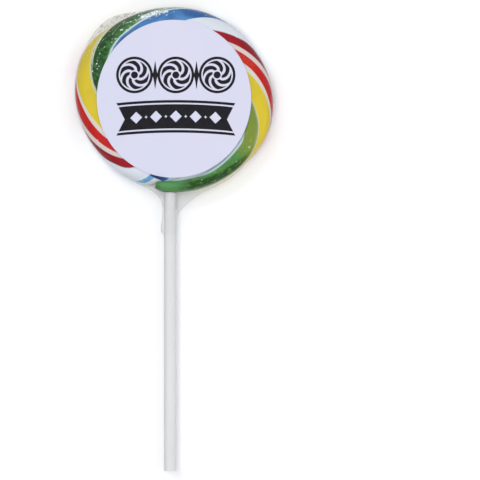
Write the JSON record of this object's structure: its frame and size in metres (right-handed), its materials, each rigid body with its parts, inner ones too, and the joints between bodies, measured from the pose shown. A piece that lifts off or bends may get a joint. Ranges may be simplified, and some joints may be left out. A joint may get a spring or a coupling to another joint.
{
  "type": "swirl lollipop",
  "caption": "Round flat lollipop coiled from a twisted multicoloured sugar rope, in clear film gathered on a long paper stick, with a round paper label on its face.",
  "frame": {"origin": "middle of the candy coil, on the back face that it rests on", "axes": "+Z out of the labelled face, +Y towards the top of the coil with the stick along -Y, +X to the right seen from the labelled face"},
  "size_m": [0.0766, 0.1797, 0.0096],
  "materials": {
    "candy": "glossy boiled sugar in yellow, red, white, blue and green strands",
    "stick": "smooth white rolled paper",
    "label": "smooth pale lavender paper, printed in black",
    "film": "clear glossy shrink film"
  },
  "bodies": {
    "root": {"candy": "candy", "stick": "stick", "label": "label", "wrapper": "film"}
  },
  "joints": []
}
